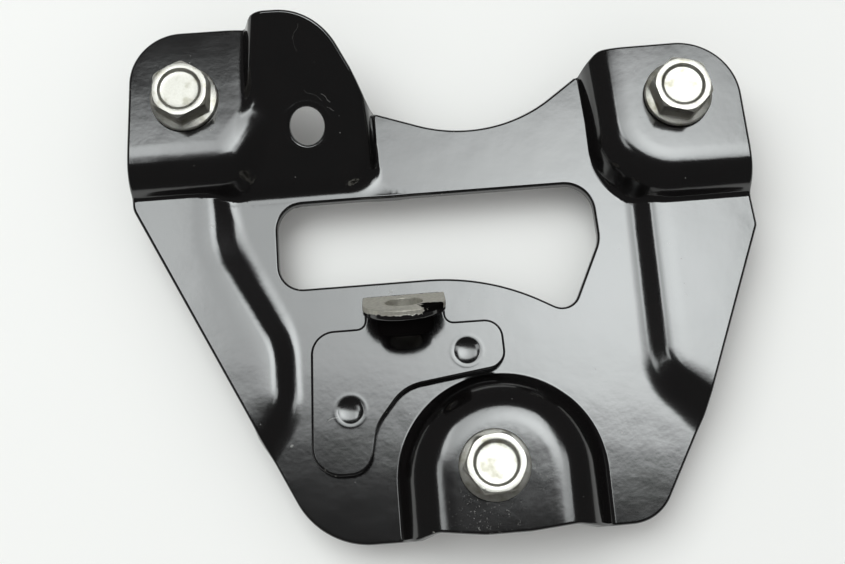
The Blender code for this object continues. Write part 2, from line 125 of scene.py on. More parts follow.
def inside_by(points, loop):
    """How far points lie inside a closed outline, negative outside."""
    nearest = np.full(len(points), 1e9)
    inside = np.zeros(len(points), dtype=bool)
    for start, end in zip(loop, np.roll(loop, -1, axis=0)):
        along = end - start
        offset = points - start
        share = np.clip(offset @ along / max(along @ along, 1e-12), 0.0, 1.0)
        gap = offset - share[:, None] * along
        nearest = np.minimum(nearest, np.hypot(gap[:, 0], gap[:, 1]))
        rise = along[1] if along[1] else 1e-12
        crosses = points[:, 0] < start[0] + (points[:, 1] - start[1]) * along[0] / rise
        inside ^= ((start[1] > points[:, 1]) != (end[1] > points[:, 1])) & crosses
    return np.where(inside, nearest, -nearest)


def flap_height(points):
    """The flap rises away from the slot."""
    return np.maximum(math.tan(FLAP_ANGLE) * (points[:, 1] - FLAP_ZERO_Y), LEAST_FLAP_HEIGHT)


# Each pressed form has the line where its wall leaves the sheet, the line where it reaches its top, the top,
# and the radius of its crest, the size of the bend at its foot and how steeply its top falls to the crest
PRESSED_FORMS = {
    "left_wing": (
        [(-60.0, 10.0, 0.5), (-14.4, 10.0, 0.5), (-12.2, -6.4, 20.0), (-3.2, -25.6, 20.0),
         (-3.3, -39.5, 13.0), (-16.0, -58.0, 0.5), (-60.0, -58.0, 0.5)],
        [(-60.0, 10.0, 0.5), (-18.6, 10.0, 0.5), (-18.0, -8.4, 16.0), (-8.0, -28.2, 12.0), (-8.1, -36.6, 8.0),
         (-17.5, -53.0, 0.5), (-60.0, -53.0, 0.5)],
        lambda points: LEFT_WING_HEIGHT, WING_BENDS),
    "right_wing": (
        [(61.9, 10.0, 0.5), (110.0, 10.0, 0.5), (110.0, -59.0, 0.5), (80.6, -59.0, 0.5), (61.3, -38.7, 11.0)],
        [(66.5, 10.0, 0.5), (110.0, 10.0, 0.5), (110.0, -51.0, 0.5), (84.0, -51.0, 0.5), (66.2, -35.6, 6.0)],
        lambda points: RIGHT_WING_HEIGHT, WING_BENDS),
    "left_ear": (
        [(-60.0, 50.0, 0.5), (-1.5, 50.0, 0.5), (-0.5, 13.0, 4.0), (-9.8, 1.7, 6.0), (-60.0, 1.7, 0.5)],
        [(-60.0, 50.0, 0.5), (-11.5, 50.0, 0.5), (-8.3, 16.0, 1.5), (-13.8, 8.5, 3.0), (-60.0, 8.6, 0.5)],
        lambda points: PAD_HEIGHT, EAR_BENDS),
    "right_ear": (
        [(53.0, 50.0, 0.5), (110.0, 50.0, 0.5), (110.0, -6.3, 0.5), (55.4, -6.1, 13.0), (55.2, 12.0, 20.0)],
        [(59.6, 50.0, 0.5), (110.0, 50.0, 0.5), (110.0, 0.9, 0.5), (60.9, 0.7, 9.5), (60.6, 12.0, 20.0)],
        lambda points: PAD_HEIGHT, EAR_BENDS),
    "boss": (
        [(14.1, -35.6, 18.65), (51.5, -35.6, 18.65), (51.5, -90.0, 0.5), (14.1, -90.0, 0.5)],
        [(21.1, -42.2, 11.35), (43.9, -42.2, 11.35), (43.9, -90.0, 0.5), (21.1, -90.0, 0.5)],
        lambda points: PAD_HEIGHT, BOSS_BENDS),
    "flap": (
        [(-10.0, 38.0, 0.5), (14.3, 38.0, 0.5), (14.3, 1.7, 4.6), (-16.0, 1.7, 0.5), (-13.6, 17.0, 12.0)],
        [(-3.7, 38.0, 0.5), (9.7, 38.0, 0.5), (10.9, 4.6, 3.0), (-14.0, 4.6, 0.5), (-7.0, 17.0, 12.0)],
        flap_height, FLAP_BENDS),
}
form_lines = {form: (outline(foot, ARC_STEP), outline(crest, ARC_STEP))
              for form, (foot, crest, *_) in PRESSED_FORMS.items()}


def wall_height(points, foot, crest, top, crest_radius, sag):
    """Height of one pressed form: a straight wall with a round crest, falling on below the sheet."""
    inward = inside_by(points, foot)
    past_crest = inside_by(points, crest)
    width = np.maximum(inward - past_crest, 0.1)
    full = top(points) + 0.0 * inward
    height = np.maximum(full - sag * (SHOULDER / 2 + width), 0.4 * full)
    sunk = np.where(past_crest > 0, sag * np.maximum(SHOULDER - past_crest, 0.0) ** 2 / (2 * SHOULDER),
                    sag * (SHOULDER / 2 - past_crest))
    low_limit = 0.98 * (width ** 2 + height ** 2) / (2 * height)
    steep_limit = (width * math.tan(STEEPEST_WALL) - height) / (1 / math.cos(STEEPEST_WALL) - 1)
    radius = np.clip(np.minimum(low_limit, steep_limit), 0.05, crest_radius)
    drop = height - radius
    slope = np.arctan2(drop, width) + np.arcsin(radius / np.hypot(width, drop))
    arc = drop + np.sqrt(radius ** 2 - np.clip(width - inward, 0.0, radius) ** 2)
    wall = np.where(inward < width - radius * np.sin(slope), inward * np.tan(slope), arc)
    return wall + full - height - sunk


def form_heights(points):
    """Height of the flat sheet and of each pressed form at the points, one column each."""
    columns = [np.zeros(len(points))]
    for form, (foot, crest) in form_lines.items():
        _, _, top, bends = PRESSED_FORMS[form]
        columns.append(wall_height(points, foot, crest, top, bends[0], bends[2]))
    ear, flap = (1 + list(form_lines).index(form) for form in ("left_ear", "flap"))
    reach = np.clip(np.minimum(columns[ear], columns[flap]), 0.3, EAR_TO_FLAP_BEND)
    share = np.maximum(reach - np.abs(columns[ear] - columns[flap]), 0.0) / reach
    columns[flap] = np.maximum(columns[ear], columns[flap]) + share ** 2 * reach / 4
    return np.column_stack(columns)


def plate_face(points):
    """The pressed sheet's upper face, with the ring that a nut left in the paint round the flap's hole."""
    columns = form_heights(points)
    height = columns[:, 0]
    for column, (*_, (_, foot_bend, _)) in zip(columns.T[1:], PRESSED_FORMS.values()):
        share = np.maximum(foot_bend - np.abs(height - column), 0.0) / foot_bend
        height = np.maximum(height, column) + share ** 2 * foot_bend / 4
    from_hole = np.hypot(points[:, 0] - FLAP_HOLE[0], (points[:, 1] - FLAP_HOLE[1]) / math.cos(FLAP_ANGLE))
    height = height + RING_HEIGHT * np.exp(-((from_hole - PAINT_RING) / RING_WIDTH) ** 2)
    return np.column_stack((points, height)) + np.array(drawing)


def face_frame(face, points):
    """Where a sheet's face lies, its two directions and its normal."""
    nudge = 0.01
    across = face(points + (nudge, 0.0)) - face(points - (nudge, 0.0))
    along = face(points + (0.0, nudge)) - face(points - (0.0, nudge))
    normal = np.cross(across, along)
    return face(points), across, along, normal / np.linalg.norm(normal, axis=1)[:, None]


def thinned(groups):
    """The points of groups of (points, spacing), each point at least its spacing from the ones before it."""
    cells = {}
    kept = []
    for points, spacing in groups:
        for x, y in points.tolist():
            column, row = math.floor(x), math.floor(y)
            near = (other for i in (-1, 0, 1) for j in (-1, 0, 1)
                    for other in cells.get((column + i, row + j), ()))
            if all((x - a) ** 2 + (y - b) ** 2 >= spacing ** 2 for a, b in near):
                cells.setdefault((column, row), []).append((x, y))
                kept.append((x, y))
    return np.array(kept)


def honeycomb(low, high, step):
    """Evenly spread points over a rectangle."""
    rows = []
    for row, y in enumerate(np.arange(low[1], high[1], step * math.sqrt(3) / 2)):
        xs = np.arange(low[0] + (row % 2) * step / 2, high[0], step)
        rows.append(np.column_stack((xs, np.full(len(xs), y))))
    return np.vstack(rows)


def pressed_sheet(name, outer, holes, inner, face, back, thickness):
    """A sheet metal piece with rolled cut edges, from flat outlines and the faces that it is formed to."""
    rims, outward, borders = [], [], []
    count = 0
    for loop, side in [(outer, 1.0)] + [(hole, -1.0) for hole in holes]:
        ahead = np.roll(loop, -1, axis=0) - np.roll(loop, 1, axis=0)
        ahead /= np.linalg.norm(ahead, axis=1)[:, None]
        out = side * np.column_stack((-ahead[:, 1], ahead[:, 0]))
        rims.append(loop - out * EDGE_ROLL)
        outward.append(out)
        here = count + np.arange(len(loop))
        borders += list(zip(here.tolist(), np.roll(here, -1).tolist()))
        count += len(loop)
    flat = np.vstack(rims + [inner])
    found = delaunay_2d_cdt([Vector(point) for point in flat], borders, [], 0, 1e-6)
    corners = np.array([tuple(point) for point in found[0]])
    at = {source: index for index, sources in enumerate(found[3]) for source in sources}
    rim_at = np.array([at[source] for source in range(count)])
    faces = np.array(found[2])
    on_rim = np.zeros(len(corners), dtype=bool)
    on_rim[rim_at] = True
    doubtful = on_rim[faces].all(axis=1)
    middles = corners[faces[doubtful]].mean(axis=1)
    solid = inside_by(middles, rims[0]) > 0
    for rim in rims[1:]:
        solid &= inside_by(middles, rim) < 0
    keep = ~doubtful
    keep[doubtful] = solid
    faces = faces[keep]

    top, _, _, up = face_frame(face, corners)
    base, _, _, base_up = face_frame(back, corners)
    places = [top, base - base_up * thickness]
    normals = [up, -base_up]
    flats = [np.column_stack((corners, np.zeros(len(corners)))),
             np.column_stack((corners, np.ones(len(corners))))]
    wear = [np.zeros(len(corners)), np.zeros(len(corners))]
    rim_flat = flat[:count]
    out = np.vstack(outward)
    lines = [rim_at]
    total = 2 * len(corners)
    for surface, turns in ((face, (22.5, 45.0, 67.5, 90.0)), (back, (90.0, 135.0, 180.0))):
        place, across, along, normal = face_frame(surface, rim_flat)
        aside = across * out[:, :1] + along * out[:, 1:]
        aside /= np.linalg.norm(aside, axis=1)[:, None]
        for degrees in turns:
            sine, cosine = math.sin(math.radians(degrees)), math.cos(math.radians(degrees))
            if surface is face and len(lines) <= 4:
                ring = place + aside * EDGE_ROLL * sine - normal * EDGE_ROLL * (1 - cosine)
            else:
                ring = place + aside * (EDGE_ROLL - EDGE_BURR * (1 - sine))
                ring -= normal * (thickness - EDGE_BURR * (1 + cosine))
            places.append(ring)
            normals.append(aside * sine + normal * cosine)
            flats.append(np.column_stack((rim_flat, np.full(count, 0.5))))
            wear.append(np.full(count, 1.0))
            lines.append(total + np.arange(count))
            total += count
    lines.append(rim_at + len(corners))

    polygons = faces.tolist() + (faces[:, ::-1] + len(corners)).tolist()
    starts = np.array([start for start, _ in borders])
    ends = np.array([end for _, end in borders])
    for upper, lower in zip(lines, lines[1:]):
        polygons += np.column_stack((upper[starts], upper[ends], lower[ends], lower[starts])).tolist()
    mesh = bpy.data.meshes.new(name)
    mesh.from_pydata((np.vstack(places) * MM).tolist(), [], polygons)
    piece = bpy.data.objects.new(name, mesh)
    bpy.context.scene.collection.objects.link(piece)
    bpy.ops.object.select_all(action="DESELECT")
    bpy.context.view_layer.objects.active = piece
    piece.select_set(True)
    bpy.ops.object.mode_set(mode="EDIT")
    bpy.ops.mesh.select_all(action="SELECT")
    bpy.ops.mesh.normals_make_consistent(inside=False)
    bpy.ops.object.mode_set(mode="OBJECT")
    bpy.ops.object.shade_smooth()
    mesh.attributes.new("flat", "FLOAT_VECTOR", "POINT").data.foreach_set("vector", np.vstack(flats).ravel())
    mesh.attributes.new("rim", "FLOAT", "POINT").data.foreach_set("value", np.concatenate(wear))
    mesh.normals_split_custom_set_from_vertices(np.vstack(normals).tolist())
    return piece


blank = spaced(outline(BLANK, ARC_STEP), EDGE_SPACING)
openings = [spaced(outline(SLOT, ARC_STEP), EDGE_SPACING)]
openings.append(round_hole(FLAP_HOLE, FLAP_HOLE_WIDTH, FLAP_HOLE_LENGTH * math.cos(FLAP_ANGLE), HOLE_SPACING))
openings += [round_hole(place, BOLT_HOLE, BOLT_HOLE, HOLE_SPACING) for place in BOLT_PLACES.values()]


def on_sheet(points):
    """The points that lie on the sheet, clear of its edges."""
    clear = inside_by(points, blank) > EDGE_ROLL + EDGE_CLEARANCE
    for opening in openings:
        clear &= inside_by(points, opening) < -EDGE_ROLL - EDGE_CLEARANCE
    return points[clear]


# Rows of points follow each wall from before its foot to past its crest, as shares of the wall. Fine points
# fill the seams where two forms meet, and coarser ones the open field.
ROW_SHARES = (-0.45, 1.4, 38)
ROW_SPACING = 0.6
SEAM_SPACING = 0.45
SEAM_REACH = 1.6
FIELD_SPACING = 1.3
RING_RADII = (4.05, 5.2, 0.2)
wall_rows = []
for number, (foot, crest, _, (_, foot_bend, _)) in enumerate(PRESSED_FORMS.values(), start=1):
    for share in np.linspace(*ROW_SHARES):
        corners = [tuple(a + (b - a) * share for a, b in zip(*pair)) for pair in zip(foot, crest)]
        row = on_sheet(spaced(outline(corners, ARC_STEP), ROW_SPACING))
        columns = form_heights(row)
        others = np.delete(columns, number, axis=1).max(axis=1)
        wall_rows.append(row[columns[:, number] > others - 2.6 * foot_bend])
seams = on_sheet(honeycomb(blank.min(axis=0), blank.max(axis=0), SEAM_SPACING))
ranked = np.sort(form_heights(seams), axis=1)
seams = seams[(ranked[:, -1] - ranked[:, -2] < SEAM_REACH) & (ranked[:, -2] > 0.1)]
ring_rows = [round_hole(FLAP_HOLE, 2 * radius, 2 * radius * math.cos(FLAP_ANGLE), HOLE_SPACING)
             for radius in np.arange(*RING_RADII)]
field = on_sheet(honeycomb(blank.min(axis=0), blank.max(axis=0), FIELD_SPACING))
inner = thinned([(seams, 0.3), (on_sheet(np.vstack(ring_rows)), 0.18), (np.vstack(wall_rows), 0.26),
                 (field, 0.8)])
main_plate = pressed_sheet("pressed_main_plate", blank, openings, inner, plate_face, plate_face, SHEET)


def add_node(tree, kind, inputs=None, **settings):
    """One node with its settings and inputs, which are values or the sockets that feed them."""
    made = tree.nodes.new(kind)
    for setting, value in settings.items():
        setattr(made, setting, value)
    for socket, value in (inputs or {}).items():
        if isinstance(value, bpy.types.NodeSocket):
            tree.links.new(value, made.inputs[socket])
        else:
            made.inputs[socket].default_value = value
    return made


def maths(tree, operation, first, second=0.0, clamp=False):
    """The result of one sum."""
    made = add_node(tree, "ShaderNodeMath", {0: first, 1: second}, operation=operation, use_clamp=clamp)
    return made.outputs[0]


def ramp(tree, value, start, end):
    """0 below the start and 1 past the end, with a smooth step between."""
    made = add_node(tree, "ShaderNodeMapRange", {"Value": value, "From Min": start, "From Max": end},
                    interpolation_type="SMOOTHSTEP")
    return made.outputs[0]


def group(name, inputs, outputs):
    """An empty node group, with its input and output nodes."""
    tree = bpy.data.node_groups.new(name, "ShaderNodeTree")
    for label, kind in inputs:
        tree.interface.new_socket(label, in_out="INPUT", socket_type=kind)
    for label in outputs:
        tree.interface.new_socket(label, in_out="OUTPUT", socket_type="NodeSocketFloat")
    return tree, tree.nodes.new("NodeGroupInput").outputs, tree.nodes.new("NodeGroupOutput").inputs


def millimetres(tree):
    """Places on a piece in millimetres."""
    place = tree.nodes.new("ShaderNodeTexCoord").outputs["Object"]
    return add_node(tree, "ShaderNodeVectorMath", {0: place, "Scale": 1000.0}, operation="SCALE").outputs[0]


# Sprayed paint dries with a fine orange peel on a longer ripple
spray, given, put = group("sprayed_skin", [("Place", "NodeSocketVector"), ("Peel", "NodeSocketFloat"),
                                           ("Ripple", "NodeSocketFloat")], ["Height"])
peel = add_node(spray, "ShaderNodeTexNoise", {"Vector": given["Place"], "Scale": 0.75, "Detail": 2.0})
swell = add_node(spray, "ShaderNodeTexNoise", {"Vector": given["Place"], "Scale": 0.12, "Detail": 1.0})
spray.links.new(maths(spray, "ADD", maths(spray, "MULTIPLY", peel.outputs[0], given["Peel"]),
                      maths(spray, "MULTIPLY", swell.outputs[0], given["Ripple"])), put["Height"])

# A scratch runs from one point of the drawing to another, and breaks up along its way
scratch, given, put = group("scratch", [("Place", "NodeSocketVector"), ("Start", "NodeSocketVector"),
                                        ("End", "NodeSocketVector"), ("Width", "NodeSocketFloat")], ["Mark"])
level = add_node(scratch, "ShaderNodeVectorMath", {0: given["Place"], 1: (1.0, 1.0, 0.0)},
                 operation="MULTIPLY")
run = add_node(scratch, "ShaderNodeVectorMath", {0: given["End"], 1: given["Start"]}, operation="SUBTRACT")
gone = add_node(scratch, "ShaderNodeVectorMath", {0: level.outputs[0], 1: given["Start"]},
                operation="SUBTRACT")
along = add_node(scratch, "ShaderNodeVectorMath", {0: gone.outputs[0], 1: run.outputs[0]},
                 operation="DOT_PRODUCT")
length = add_node(scratch, "ShaderNodeVectorMath", {0: run.outputs[0], 1: run.outputs[0]},
                  operation="DOT_PRODUCT")
share = maths(scratch, "DIVIDE", along.outputs["Value"], length.outputs["Value"], clamp=True)
nearest = add_node(scratch, "ShaderNodeVectorMath", {0: run.outputs[0], "Scale": share}, operation="SCALE")
gap = add_node(scratch, "ShaderNodeVectorMath", {0: gone.outputs[0], 1: nearest.outputs[0]},
               operation="DISTANCE")
grit = add_node(scratch, "ShaderNodeTexNoise", {"Vector": given["Place"], "Scale": 2.5, "Detail": 3.0})
edge = maths(scratch, "ADD", gap.outputs["Value"],
             maths(scratch, "MULTIPLY", maths(scratch, "SUBTRACT", grit.outputs[0], 0.45), given["Width"]))
mark = maths(scratch, "SUBTRACT", 1.0, maths(scratch, "DIVIDE", edge, given["Width"]), clamp=True)
scratch.links.new(ramp(scratch, mark, 0.25, 0.75), put["Mark"])

# Chips where the paint has gone from the cut edges, and specks of dust
worn, given, put = group("chipped_edge", [("Place", "NodeSocketVector"), ("Rim", "NodeSocketFloat"),
                                          ("Amount", "NodeSocketFloat")], ["Chips", "Dust"])
flakes = add_node(worn, "ShaderNodeTexNoise", {"Vector": given["Place"], "Scale": 1.1, "Detail": 5.0,
                                               "Roughness": 0.65})
patches = add_node(worn, "ShaderNodeTexNoise", {"Vector": given["Place"], "Scale": 0.09, "Detail": 1.0})
reach = maths(worn, "ADD", flakes.outputs[0],
              maths(worn, "MULTIPLY", maths(worn, "SUBTRACT", patches.outputs[0], 0.5), 0.5))
limit = maths(worn, "SUBTRACT", 0.86, given["Amount"])
chips = maths(worn, "MULTIPLY", ramp(worn, maths(worn, "SUBTRACT", reach, limit), 0.0, 0.03), given["Rim"])
worn.links.new(chips, put["Chips"])
specks = add_node(worn, "ShaderNodeTexVoronoi", {"Vector": given["Place"], "Scale": 0.55, "Randomness": 1.0})
grains = maths(worn, "SUBTRACT", 1.0, ramp(worn, specks.outputs["Distance"], 0.03, 0.07))
chosen = maths(worn, "GREATER_THAN", add_node(worn, "ShaderNodeSeparateColor",
                                             {0: specks.outputs["Color"]}).outputs[0], 0.86)
worn.links.new(maths(worn, "MULTIPLY", grains, chosen), put["Dust"])


def placed_group(tree, shared, inputs):
    """A shared effect with this material's own values."""
    return add_node(tree, "ShaderNodeGroup", inputs, node_tree=shared).outputs


def colour_mix(tree, share, first, second):
    """Two colours mixed by a mask."""
    made = tree.nodes.new("ShaderNodeMix")
    made.data_type = "RGBA"
    for socket, value in ((0, share), (6, first), (7, second)):
        if isinstance(value, bpy.types.NodeSocket):
            tree.links.new(value, made.inputs[socket])
        else:
            made.inputs[socket].default_value = value
    return made.outputs[2]


def finish_paint(name, peel, ripple, chip_amount, scratches, rubbed=None, glossy=True, scuffs=()):
    """Gloss black paint: a thick coat over steel, with peel, chips, scratches, scuffs and a rubbed patch."""
    made = bpy.data.materials.new(name)
    made.use_nodes = True
    tree = made.node_tree
    shader = tree.nodes["Principled BSDF"]
    place = millimetres(tree)
    rim = add_node(tree, "ShaderNodeAttribute", attribute_name="rim").outputs["Fac"]
    wear = placed_group(tree, worn, {"Place": place, "Rim": rim, "Amount": chip_amount})
    bend = add_node(tree, "ShaderNodeTexNoise", {"Vector": place, "Scale": 0.35, "Detail": 2.0})
    bend = add_node(tree, "ShaderNodeVectorMath", {0: bend.outputs["Color"], 1: (0.5, 0.5, 0.5)},
                    operation="SUBTRACT").outputs[0]
    wander = add_node(tree, "ShaderNodeVectorMath", {0: bend, 1: (2.0, 2.0, 2.0), 2: place},
                      operation="MULTIPLY_ADD").outputs[0]
    marks = maths(tree, "MULTIPLY", wear["Dust"], 0.5)
    for start, end, width, strength in scratches:
        mark = placed_group(tree, scratch, {
            "Place": wander, "Start": (start[0] + drawing.x, start[1] + drawing.y, 0.0),
            "End": (end[0] + drawing.x, end[1] + drawing.y, 0.0), "Width": width})["Mark"]
        marks = maths(tree, "MAXIMUM", marks, maths(tree, "MULTIPLY", mark, strength))
    for x, y, spread, strength in scuffs:
        flat = add_node(tree, "ShaderNodeVectorMath", {0: place, 1: (1.0, 1.0, 0.0)}, operation="MULTIPLY")
        gap = add_node(tree, "ShaderNodeVectorMath", {
            0: flat.outputs[0], 1: (x + drawing.x, y + drawing.y, 0.0)}, operation="DISTANCE")
        near = maths(tree, "SUBTRACT", 1.0, ramp(tree, gap.outputs["Value"], 0.3 * spread, spread))
        flecks = add_node(tree, "ShaderNodeTexNoise", {"Vector": place, "Scale": 2.2, "Detail": 3.0,
                                                       "Roughness": 0.7}).outputs[0]
        flecks = ramp(tree, maths(tree, "ADD", flecks, maths(tree, "MULTIPLY", near, 0.05)), 0.67, 0.71)
        flecks = maths(tree, "MULTIPLY", flecks, maths(tree, "MULTIPLY", near, strength))
        marks = maths(tree, "MAXIMUM", marks, flecks)
    cloud = add_node(tree, "ShaderNodeTexNoise", {"Vector": place, "Scale": 0.2, "Detail": 3.0}).outputs[0]
    paint = colour_mix(tree, cloud, (0.0025, 0.0025, 0.0025, 1.0), (0.0045, 0.0036, 0.0036, 1.0))
    dusty = colour_mix(tree, marks, paint, (0.42, 0.42, 0.40, 1.0))
    steel, matt = rubbed(tree, place) if rubbed else (0.0, 0.0)
    steel = maths(tree, "MAXIMUM", wear["Chips"], steel)
    dull = maths(tree, "MAXIMUM", maths(tree, "MAXIMUM", steel, marks), matt)
    metal = add_node(tree, "ShaderNodeTexNoise", {"Vector": place, "Scale": 1.6, "Detail": 5.0}).outputs[0]
    bright = colour_mix(tree, metal, (0.40, 0.38, 0.33, 1.0), (0.80, 0.78, 0.70, 1.0))
    tree.links.new(colour_mix(tree, steel, dusty, bright), shader.inputs["Base Color"])
    tree.links.new(maths(tree, "MULTIPLY", steel, 0.85), shader.inputs["Metallic"])
    tree.links.new(maths(tree, "ADD", 0.3, maths(tree, "MULTIPLY", dull, 0.25)), shader.inputs["Roughness"])
    shader.inputs["Specular IOR Level"].default_value = 0.0
    if glossy:
        tree.links.new(maths(tree, "SUBTRACT", 1.0, dull), shader.inputs["Coat Weight"])
    shader.inputs["Coat IOR"].default_value = 1.8
    shader.inputs["Coat Roughness"].default_value = 0.13
    skin = placed_group(tree, spray, {"Place": place, "Peel": peel, "Ripple": ripple})["Height"]
    height = maths(tree, "SUBTRACT", skin, maths(tree, "MULTIPLY", steel, 0.06))
    bump = add_node(tree, "ShaderNodeBump", {"Height": height, "Strength": 1.0, "Distance": MM})
    tree.links.new(bump.outputs[0], shader.inputs["Normal"])
    tree.links.new(bump.outputs[0], shader.inputs["Coat Normal"])
    return made


PLATE_SCRATCHES = [((1.7, 30.8), (0.8, 28.6), 0.14, 0.07), ((0.8, 28.6), (0.9, 26.2), 0.12, 0.05),
                   ((2.0, 19.8), (4.9, 17.3), 0.12, 0.06), ((5.1, 18.5), (6.5, 17.5), 0.18, 0.16),
                   ((5.8, 16.6), (7.1, 16.0), 0.14, 0.12), ((-5.2, -45.5), (-4.9, -45.2), 0.35, 0.5),
                   ((-15.9, 13.3), (-15.7, 13.4), 0.3, 0.5), ((-17.4, -3.5), (-17.3, -3.5), 0.4, 0.4),
                   ((12.8, -17.5), (13.1, -17.5), 0.3, 0.4),
                   ((15.0, -18.4), (15.2, -18.4), 0.35, 0.4)]
PLATE_SCUFFS = [(29.0, -60.5, 9.0, 0.5), (39.0, -54.0, 5.0, 0.3)]
plate_paint = finish_paint("plate_gloss_black", 0.010, 0.06, 0.12, PLATE_SCRATCHES, scuffs=PLATE_SCUFFS)
main_plate.data.materials.append(plate_paint)
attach(main_plate, "root")
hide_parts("main_plate")

# The folded piece is a smaller steel pressing, spot welded to the plate at two round dimples. Its tab is bent
# up and back past square, and a clip bolted to it has rubbed the paint off the tab's outer face.
TAB_SHEET = 2.0
TAB_BEND_RADIUS = 1.0
TAB_BEND_ANGLE = math.radians(114.0)
TAB_BEND_Y = -22.9
TAB_LENGTH = 13.3
TAB_LEFT = 9.9
TAB_WIDTH = 14.9
TAB_HOLE = 6.8
WELD_GAP = 0.3
WELD_DIMPLES = [(28.2, -31.0), (6.2, -40.3)]
DIMPLE_DIAMETER = 5.0
DIMPLE_DEPTH = 0.32
tab_bend_end = TAB_BEND_Y + TAB_BEND_RADIUS * TAB_BEND_ANGLE
tab_end = tab_bend_end + TAB_LENGTH
tab_middle = TAB_LEFT + TAB_WIDTH / 2
tab_hole_centre = (tab_middle, tab_end - TAB_WIDTH / 2)
TAB_BLANK = [(-0.2, -25.3, 4.5), (TAB_LEFT, -25.3, 1.5), (TAB_LEFT, tab_end, TAB_WIDTH * 0.499),
             (TAB_LEFT + TAB_WIDTH, tab_end, TAB_WIDTH * 0.499), (TAB_LEFT + TAB_WIDTH, -25.3, 1.5),
             (35.1, -25.4, 3.5), (35.3, -34.4, 3.4), (16.4, -36.9, 8.0), (11.0, -43.4, 8.0),
             (9.2, -52.0, 4.4), (-1.5, -52.0, 5.4)]


def folded(points, height):
    """The flat piece folded up at its bend line, with its upper face at a height over the plate."""
    past = np.maximum(points[:, 1] - TAB_BEND_Y, 0.0)
    turn = np.minimum(past / TAB_BEND_RADIUS, TAB_BEND_ANGLE)
    beyond = past - turn * TAB_BEND_RADIUS
    y = np.minimum(points[:, 1], TAB_BEND_Y) + TAB_BEND_RADIUS * np.sin(turn)
    y += beyond * math.cos(TAB_BEND_ANGLE)
    z = height + TAB_BEND_RADIUS * (1 - np.cos(turn)) + beyond * math.sin(TAB_BEND_ANGLE)
    return np.column_stack((points[:, 0], y, z)) + np.array(drawing)


def tab_back(points):
    """The folded piece without its dimples."""
    return folded(points, WELD_GAP + TAB_SHEET)


def tab_face(points):
    """The folded piece with the dimples that the welding tips pressed into it."""
    depth = np.zeros(len(points))
    for centre in WELD_DIMPLES:
        share = np.hypot(points[:, 0] - centre[0], points[:, 1] - centre[1]) / (DIMPLE_DIAMETER / 2)
        step = np.clip((1.1 - share) / 0.5, 0.0, 1.0)
        depth += DIMPLE_DEPTH * (0.15 * step * step * (3 - 2 * step) + 0.85 * np.maximum(1 - share ** 2, 0.0))
        depth -= 0.015 * np.exp(-((share - 1.15) / 0.12) ** 2)
    return folded(points, WELD_GAP + TAB_SHEET - depth)


TAB_SPACING = 0.5
tab_outline = spaced(outline(TAB_BLANK, ARC_STEP), TAB_SPACING)
tab_hole = round_hole(tab_hole_centre, TAB_HOLE, TAB_HOLE, HOLE_SPACING)
bend_rows = [(x, y) for y in np.linspace(TAB_BEND_Y, tab_bend_end, 13)
             for x in np.arange(TAB_LEFT + 0.9, TAB_LEFT + TAB_WIDTH - 0.7, 0.8)]
dimple_rows = [round_hole(centre, 2 * radius, 2 * radius, 0.35) for centre in WELD_DIMPLES
               for radius in np.arange(0.3, 4.4, 0.28)]
plain = honeycomb(tab_outline.min(axis=0), tab_outline.max(axis=0), 1.2)
tab_inner = thinned([(np.array(bend_rows), 0.1), (np.vstack(dimple_rows), 0.25), (plain, 0.8)])
clear = inside_by(tab_inner, tab_outline) > EDGE_ROLL + EDGE_CLEARANCE
clear &= inside_by(tab_inner, tab_hole) < -EDGE_ROLL - EDGE_CLEARANCE
tab_bracket = pressed_sheet("folded_tab_piece", tab_outline, [tab_hole], tab_inner[clear], tab_face, tab_back,
                            TAB_SHEET)

tab_outward = Vector((0.0, math.sin(TAB_BEND_ANGLE), -math.cos(TAB_BEND_ANGLE)))
hole_place = Vector(tab_back(np.array([tab_hole_centre]))[0])
tab_outer_face = hole_place + tab_outward * TAB_SHEET


